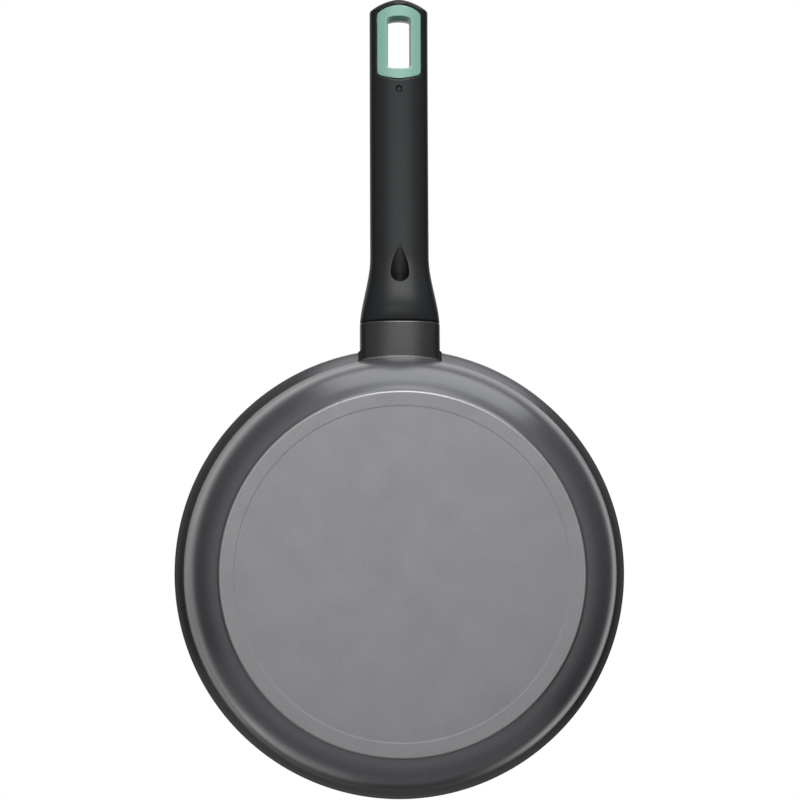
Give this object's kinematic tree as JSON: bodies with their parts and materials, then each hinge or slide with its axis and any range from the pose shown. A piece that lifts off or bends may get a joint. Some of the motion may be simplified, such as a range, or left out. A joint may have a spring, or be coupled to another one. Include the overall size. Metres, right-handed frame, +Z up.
{
  "type": "deep frying pan",
  "caption": "Deep round frying pan with a flared lip, a flat grooved base and one straight handle with a hanging hole.",
  "frame": {"origin": "middle of the flat resting face under the base", "axes": "+Z up through the open top of the bowl, +X out along the handle, +Y to the left of the handle seen from the bowl"},
  "size_m": [0.4284, 0.24, 0.0895],
  "materials": {
    "pan_coat": "satin",
    "bracket_cast": "matte",
    "rivet_metal": "satin",
    "guard_coat": "satin",
    "grip_black": "matte",
    "insert_mint": "satin",
    "hardware_steel": "satin"
  },
  "bodies": {
    "root": {"pan_body": "pan_coat", "handle_bracket": "bracket_cast", "bracket_rivet_left": "rivet_metal", "bracket_rivet_right": "rivet_metal", "flame_guard": "guard_coat", "handle_grip": "grip_black", "hang_insert": "insert_mint", "insert_lock_pin": "grip_black", "handle_screw": "hardware_steel", "screw_spring_washer": "hardware_steel"}
  },
  "joints": []
}
